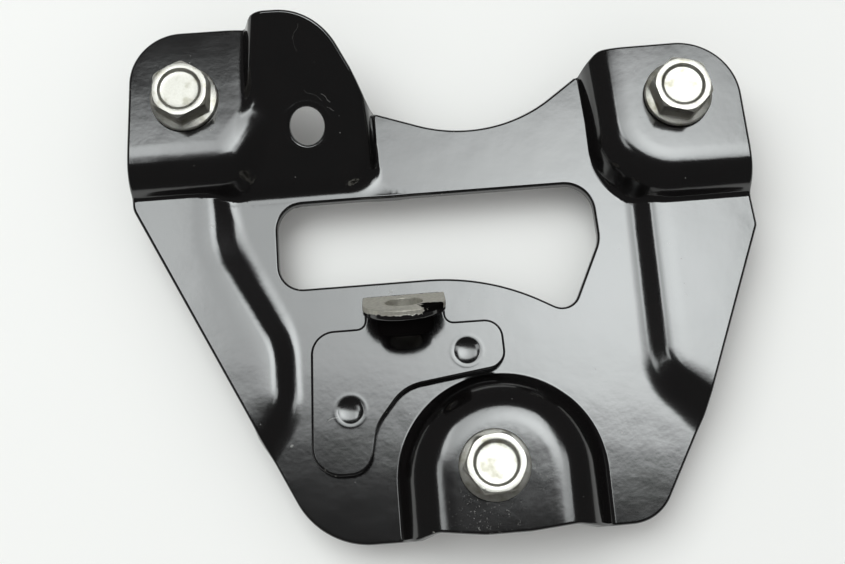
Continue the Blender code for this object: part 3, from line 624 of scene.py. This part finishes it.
def rubbed_bare(tree, place):
    """Masks of the bare steel and of the whole dull patch on the tab's outer face and the top of its rim."""
    flat = add_node(tree, "ShaderNodeSeparateXYZ", {0: add_node(
        tree, "ShaderNodeAttribute", attribute_name="flat").outputs["Vector"]}).outputs
    grit = add_node(tree, "ShaderNodeTexNoise", {"Vector": place, "Scale": 0.9, "Detail": 5.0}).outputs[0]
    off = maths(tree, "SUBTRACT", grit, 0.5)
    rough_x = maths(tree, "ADD", flat[0], maths(tree, "MULTIPLY", off, 4.0))
    rough_y = maths(tree, "ADD", flat[1], maths(tree, "MULTIPLY", off, 2.0))
    out = add_node(tree, "ShaderNodeVectorMath", {0: place, 1: tab_outward}, operation="DOT_PRODUCT")
    under = maths(tree, "SUBTRACT", tab_outer_face.dot(tab_outward), out.outputs["Value"])
    shallow = maths(tree, "SUBTRACT", 1.0, ramp(tree, maths(tree, "ADD", under, off), 0.8, 1.0))
    past_bend = ramp(tree, rough_y, tab_bend_end - 0.2, tab_bend_end + 0.3)
    low_right = maths(tree, "MULTIPLY", ramp(tree, rough_x, TAB_LEFT + 10.0, TAB_LEFT + 10.6),
                      ramp(tree, rough_y, tab_end - 5.2, tab_end - 4.8))
    kept = maths(tree, "SUBTRACT", 1.0, low_right)
    worn_face = maths(tree, "MULTIPLY", past_bend, shallow)
    from_hole = add_node(tree, "ShaderNodeVectorMath", {
        0: add_node(tree, "ShaderNodeVectorMath", {
            0: add_node(tree, "ShaderNodeAttribute", attribute_name="flat").outputs["Vector"],
            1: (1.0, 1.0, 0.0)}, operation="MULTIPLY").outputs[0],
        1: (*tab_hole_centre, 0.0)}, operation="DISTANCE").outputs["Value"]
    round_it = maths(tree, "SUBTRACT", 1.0, ramp(tree, from_hole, TAB_HOLE / 2 + 0.6, TAB_HOLE / 2 + 0.8))
    bare = maths(tree, "MAXIMUM", maths(tree, "MULTIPLY", worn_face, kept), round_it)
    return bare, maths(tree, "MAXIMUM", worn_face, round_it)


tab_paint = finish_paint("tab_gloss_black", 0.009, 0.03, 0.16, [((2.2, -41.8), (3.7, -41.1), 0.2, 0.4)],
                         rubbed_bare)
tab_bracket.data.materials.append(tab_paint)
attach(tab_bracket, "root")
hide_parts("tab_bracket")


# The weld nut is a turned steel ring with an M6 thread, welded on the tab's hidden face over its hole. The
# spray has covered its outside, and the bare thread shows in the hole as fine dark lines.
NUT_DIAMETER = 10.0
NUT_HEIGHT = 3.0
NUT_BORE = 5.1
NUT_CHAMFER = 0.4
THREAD_PITCH = 1.0


def turned(name, profile, steps):
    """A piece turned about Z from a profile of (radius, height) in millimetres."""
    bpy.ops.object.select_all(action="DESELECT")
    bpy.ops.mesh.primitive_plane_add(size=MM)
    piece = bpy.context.object
    piece.name = name
    piece.data.name = name
    bpy.ops.object.mode_set(mode="EDIT")
    bpy.ops.mesh.select_mode(type="VERT")
    bpy.ops.mesh.select_all(action="SELECT")
    bpy.ops.mesh.merge(type="CENTER")
    bpy.ops.transform.translate(value=(profile[0][0] * MM, 0.0, profile[0][1] * MM))
    for (radius, height), (next_radius, next_height) in zip(profile, profile[1:]):
        step = ((next_radius - radius) * MM, 0.0, (next_height - height) * MM)
        bpy.ops.mesh.extrude_region_move(TRANSFORM_OT_translate={"value": step})
    bpy.ops.mesh.select_all(action="SELECT")
    bpy.ops.mesh.spin(steps=steps, angle=2 * math.pi, center=(0.0, 0.0, 0.0), axis=(0.0, 0.0, 1.0))
    bpy.ops.mesh.select_all(action="SELECT")
    bpy.ops.mesh.remove_doubles(threshold=0.000001)
    bpy.ops.mesh.normals_make_consistent(inside=False)
    bpy.ops.object.mode_set(mode="OBJECT")
    return piece


bore = NUT_BORE / 2
rim = NUT_DIAMETER / 2
threads = [(bore + 0.3 * (number % 2), NUT_CHAMFER + number * THREAD_PITCH / 2) for number in range(5)]
weld_nut = turned("threaded_weld_nut", [
    (bore + NUT_CHAMFER, 0.0), *threads, (bore + NUT_CHAMFER, NUT_HEIGHT), (rim - NUT_CHAMFER, NUT_HEIGHT),
    (rim - 0.1, NUT_HEIGHT - 0.12), (rim, NUT_HEIGHT - NUT_CHAMFER), (rim, 0.0),
    (bore + NUT_CHAMFER, 0.0)], 64)
along = Vector((0.0, math.cos(TAB_BEND_ANGLE), math.sin(TAB_BEND_ANGLE)))
inward = Vector((0.0, -math.sin(TAB_BEND_ANGLE), math.cos(TAB_BEND_ANGLE)))
seat = (hole_place + inward * WELD_GAP) * MM
turn = Matrix((along.cross(inward), along, inward)).transposed().to_4x4()
bpy.ops.object.shade_smooth_by_angle(angle=math.radians(30.0))

nut_paint = finish_paint("nut_black_paint", 0.01, 0.03, 0.06, [], glossy=False)
thread_steel = bpy.data.materials.new("thread_steel")
thread_steel.use_nodes = True
tree = thread_steel.node_tree
shader = tree.nodes["Principled BSDF"]
place = millimetres(tree)
stain = add_node(tree, "ShaderNodeTexNoise", {"Vector": place, "Scale": 0.8, "Detail": 5.0}).outputs[0]
tree.links.new(colour_mix(tree, stain, (0.25, 0.24, 0.20, 1.0), (0.70, 0.68, 0.62, 1.0)),
               shader.inputs["Base Color"])
tree.links.new(maths(tree, "ADD", 0.3, maths(tree, "MULTIPLY", stain, 0.3)), shader.inputs["Roughness"])
shader.inputs["Metallic"].default_value = 1.0
weld_nut.data.materials.append(nut_paint)
weld_nut.data.materials.append(thread_steel)
for face in weld_nut.data.polygons:
    face.material_index = int((face.center.xy.length / MM) < bore + NUT_CHAMFER)
weld_nut.data.transform(Matrix.Translation(seat) @ turn)
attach(weld_nut, "root")
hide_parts("tab_weld_nut")


# The bolts are M6 flange bolts, cold headed from steel wire: a hexagon head with chamfered corners and a
# dished top, a sloping flange under it and a rolled thread. They are bright zinc plated and slightly yellow.
BOLT_TURNS = {"upper_left": 55.5, "upper_right": 13.7, "lower": 34.0}
THREAD = 6.0
THREAD_DEPTH = 0.5
THREAD_TOP = -0.4
THREAD_FADE = 1.5
BOLT_POINT = 0.8
THREAD_FOOT = -13.9 - BOLT_POINT
FLANGE_DIAMETER = 12.7
FLANGE_RIM = 0.9
FLANGE_RISE = 0.3
ACROSS_FLATS = 9.9
HEAD_HEIGHT = 5.4
HEAD_CHAMFER = math.radians(28.0)
HEAD_FALL = math.radians(8.0)
DISH_DIAMETER = 8.0
DISH_FLOOR = 7.3
DISH_DEPTH = 0.6
FILLET = 0.2
CORNER_SHARPNESS = 40
CORNER_ROUND = 0.03

flange = FLANGE_DIAMETER / 2
flange_edge = flange - 0.3
flats = ACROSS_FLATS / 2
corner = flats / math.cos(math.pi / 6)
shank = THREAD / 2
thread_end = BOLT_POINT - BOLT_LENGTH
dish_floor = HEAD_HEIGHT - DISH_DEPTH


def flange_slope(radius):
    """Height of the flange's sloping top."""
    return FLANGE_RIM + FLANGE_RISE * (flange_edge - radius) / (flange_edge - flats)


dish = [(0.0, dish_floor), (2.6, dish_floor), (DISH_FLOOR / 2 - 0.3, dish_floor),
        (DISH_FLOOR / 2 - 0.12, dish_floor + 0.02), (DISH_FLOOR / 2, dish_floor + 0.1),
        (DISH_DIAMETER / 2 - 0.16, HEAD_HEIGHT - 0.22), (DISH_DIAMETER / 2 - 0.08, HEAD_HEIGHT - 0.08),
        (DISH_DIAMETER / 2 + 0.04, HEAD_HEIGHT - 0.02), (DISH_DIAMETER / 2 + 0.16, HEAD_HEIGHT)]
chamfer = [(radius, HEAD_HEIGHT - (radius - flats + 0.1) * math.tan(HEAD_FALL)
            - max(0.0, radius - flats - 0.15) * math.tan(HEAD_CHAMFER))
           for radius in np.arange(flats - 0.04, corner + 0.16, 0.04)]
side = [(corner + 0.15, height) for height in (4.6, 4.0, 3.0, 2.2, 1.7)]
fillet = [(corner + FILLET * (1 - math.cos(bend)), flange_slope(corner) + FILLET * (1 - math.sin(bend)))
          for bend in np.radians((0.0, 25.0, 45.0, 65.0, 90.0))]
bolt = turned("bolt", [
    *dish, (flats - 0.18, HEAD_HEIGHT), (flats - 0.1, HEAD_HEIGHT - 0.01), *chamfer, *side, *fillet,
    (flange_edge - 0.06, flange_slope(flange_edge - 0.06)), (flange_edge, FLANGE_RIM),
    (flange - 0.1, FLANGE_RIM - 0.08), (flange, FLANGE_RIM - 0.26), (flange, 0.15), (flange - 0.15, 0.0),
    (shank + 0.05, 0.0), *[(shank, height) for height in np.arange(-1 / 6, thread_end, -1 / 6)],
    (shank - 0.4, thread_end - 0.4), (shank - BOLT_POINT, -BOLT_LENGTH), (0.0, -BOLT_LENGTH)], 240)

# Every ring of the head is drawn in to the hexagon, whose corners are slightly round, and the shank gets its
# thread, which fades out under the flange
for vertex in bolt.data.vertices:
    radius, height = vertex.co.xy.length / MM, vertex.co.z / MM
    if radius < 0.001:
        continue
    around = math.atan2(vertex.co.y, vertex.co.x)
    reaches = sum(max(0.0, math.cos(around - number * math.pi / 3)) ** CORNER_SHARPNESS
                  for number in range(6))
    hexagon = flats / reaches ** (1 / CORNER_SHARPNESS)
    if height > 1.6:
        nearer = math.exp(-radius / CORNER_ROUND) + math.exp(-hexagon / CORNER_ROUND)
        wanted = -CORNER_ROUND * math.log(nearer)
    elif height > FLANGE_RIM and radius < flange_edge:
        share = min(1.0, (flange_edge - radius) / (flange_edge - corner - FILLET))
        wanted = radius - (corner - hexagon) * share
        vertex.co.z += (flange_slope(wanted) - flange_slope(radius)) * MM
    elif THREAD_FOOT < height < THREAD_TOP:
        phase = (height / THREAD_PITCH - around / (2 * math.pi)) % 1.0
        fade = min(1.0, (THREAD_TOP - height) / THREAD_FADE)
        wanted = radius - THREAD_DEPTH * (1 - abs(2 * phase - 1)) * fade
    else:
        continue
    vertex.co.x *= wanted / radius
    vertex.co.y *= wanted / radius
bpy.ops.object.shade_smooth_by_angle(angle=math.radians(40.0))

zinc = bpy.data.materials.new("bright_zinc_plating")
zinc.use_nodes = True
tree = zinc.node_tree
shader = tree.nodes["Principled BSDF"]
place = millimetres(tree)
grain = add_node(tree, "ShaderNodeTexNoise", {"Vector": place, "Scale": 3.0, "Detail": 4.0,
                                              "Roughness": 0.6}).outputs[0]
cloud = add_node(tree, "ShaderNodeTexNoise", {"Vector": place, "Scale": 0.4, "Detail": 3.0}).outputs[0]
tone = colour_mix(tree, grain, (0.58, 0.56, 0.50, 1.0), (0.80, 0.79, 0.74, 1.0))
tree.links.new(colour_mix(tree, ramp(tree, cloud, 0.5, 0.75), tone, (0.42, 0.40, 0.32, 1.0)),
               shader.inputs["Base Color"])
tree.links.new(maths(tree, "ADD", 0.30, maths(tree, "MULTIPLY", grain, 0.2)), shader.inputs["Roughness"])
shader.inputs["Metallic"].default_value = 1.0
bump = add_node(tree, "ShaderNodeBump", {"Height": grain, "Strength": 1.0, "Distance": 0.003 * MM})
tree.links.new(bump.outputs[0], shader.inputs["Normal"])
bolt.data.materials.append(zinc)

for spot, (x, y) in BOLT_PLACES.items():
    copy = bpy.data.objects.new(f"{spot}_flange_bolt", bolt.data.copy())
    bpy.context.scene.collection.objects.link(copy)
    stand = Vector((x, y, PAD_HEIGHT + SEAT_GAP)) + drawing
    copy.data.transform(Matrix.Translation(stand * MM)
                        @ Matrix.Rotation(math.radians(BOLT_TURNS[spot]), 4, "Z"))
    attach(copy, "root")
    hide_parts(f"{spot}_bolt")
bpy.data.objects.remove(bolt)


# The table is a plain pale board, and the bracket stands on it on its three bolt tips. A wide panel behind it
# shows only in the paint and the zinc, one wide lamp overhead lights the table, and the pale room fills in.
TABLE_SIZE = 6.0
bpy.ops.object.select_all(action="DESELECT")
bpy.ops.mesh.primitive_plane_add(size=TABLE_SIZE)
table = bpy.context.object
table.name = "table"
pale = bpy.data.materials.new("pale_table")
pale.use_nodes = True
shader = pale.node_tree.nodes["Principled BSDF"]
shader.inputs["Base Color"].default_value = (0.88, 0.88, 0.86, 1.0)
shader.inputs["Roughness"].default_value = 0.6
shader.inputs["Specular IOR Level"].default_value = 0.2
table.data.materials.append(pale)

PANEL_PLACE = (0.055, 0.290, 1.0)
LAMP_COLOUR = (0.96, 1.0, 1.0)
panel = bpy.data.lights.new("soft_panel", "AREA")
panel.shape = "RECTANGLE"
panel.size = 1.0
panel.size_y = 0.7
panel.energy = 1.0
panel.color = LAMP_COLOUR
panel.use_nodes = True
tree = panel.node_tree
glow = tree.nodes["Emission"]
lit_place = tree.nodes.new("ShaderNodeNewGeometry").outputs["Position"]
spot = add_node(tree, "ShaderNodeSeparateXYZ", {0: lit_place})
side = maths(tree, "DIVIDE", maths(tree, "ADD", spot.outputs[0], 0.010), 0.0215)
back = maths(tree, "DIVIDE", maths(tree, "ADD", spot.outputs[1], 0.061), 0.022)
lower_edge = maths(tree, "ADD", back, maths(tree, "MULTIPLY", side, 0.2))
upper_edge = maths(tree, "SUBTRACT", back, maths(tree, "MULTIPLY", side, 0.12))
shape = maths(tree, "MULTIPLY", ramp(tree, lower_edge, 3.8, 8.6),
              maths(tree, "SUBTRACT", 1.0, ramp(tree, upper_edge, 20.5, 26.0)))
ends = maths(tree, "MULTIPLY", ramp(tree, side, -16.0, -14.0),
             maths(tree, "SUBTRACT", 1.0, ramp(tree, side, 19.0, 21.0)))
shape = maths(tree, "MULTIPLY", shape, ends)
away = maths(tree, "ADD", maths(tree, "POWER", maths(tree, "SUBTRACT", side, 11.0), 2.0),
             maths(tree, "POWER", maths(tree, "SUBTRACT", back, 12.0), 2.0))
middle = maths(tree, "EXPONENT", maths(tree, "DIVIDE", away, -98.0))
dimmer = maths(tree, "MULTIPLY", ramp(tree, side, -11.5, -8.5), 1.8)
level = maths(tree, "ADD", maths(tree, "SUBTRACT", 5.8, dimmer), maths(tree, "MULTIPLY", middle, 4.2))
aside = maths(tree, "ADD", ramp(tree, side, 14.0, 16.0),
              maths(tree, "SUBTRACT", 1.0, ramp(tree, side, -14.0, -11.0)))
low_side = maths(tree, "MULTIPLY", maths(tree, "MULTIPLY", aside, 3.4),
                 maths(tree, "SUBTRACT", 1.0, ramp(tree, back, 8.0, 10.0)))
strength = maths(tree, "MAXIMUM", maths(tree, "MULTIPLY", shape, level), low_side)
tree.links.new(maths(tree, "MULTIPLY", strength, 2.2), glow.inputs["Strength"])
lamp = bpy.data.objects.new("soft_panel", panel)
bpy.context.scene.collection.objects.link(lamp)
lamp.location = PANEL_PLACE
lamp.visible_diffuse = False

overhead = bpy.data.lights.new("overhead", "AREA")
overhead.size = 1.1
overhead.energy = 10.2
overhead.color = LAMP_COLOUR
lamp = bpy.data.objects.new("overhead", overhead)
bpy.context.scene.collection.objects.link(lamp)
lamp.location = (-0.45, 0.45, 1.1)
lamp.rotation_euler = lamp.location.to_track_quat("Z", "Y").to_euler()
lamp.visible_glossy = False

room = bpy.data.worlds.new("dim_room")
bpy.context.scene.world = room
room.use_nodes = True
tree = room.node_tree
path = tree.nodes.new("ShaderNodeLightPath").outputs
lit = maths(tree, "SUBTRACT", 0.6, maths(tree, "MULTIPLY", path["Is Glossy Ray"], 0.53))
tree.links.new(maths(tree, "MAXIMUM", lit, maths(tree, "MULTIPLY", path["Is Camera Ray"], 0.9)),
               tree.nodes["Background"].inputs["Strength"])
tree.nodes["Background"].inputs["Color"].default_value = (1.0, 1.0, 1.0, 1.0)

SENSOR_WIDTH = 36.0
IMAGE_WIDTH = 845.0
FOCAL_PIXELS = 1160.0
CAMERA_PLACE = Vector((16.786, -65.778, 212.0))
view = bpy.data.cameras.new("photo_view")
view.sensor_width = SENSOR_WIDTH
view.lens = FOCAL_PIXELS / IMAGE_WIDTH * SENSOR_WIDTH
view.clip_start = 0.01
camera = bpy.data.objects.new("photo_view", view)
bpy.context.scene.collection.objects.link(camera)
right = Vector((0.99677, -0.08030, 0.0021)).normalized()
ahead = Vector((0.02011, 0.22421, -0.97433)).normalized()
upward = right.cross(ahead)
turn = Matrix((right, upward, -ahead)).transposed().to_4x4()
camera.matrix_world = Matrix.Translation((CAMERA_PLACE + drawing) * MM) @ turn
bpy.context.scene.camera = camera
bpy.context.scene.view_settings.view_transform = "Standard"
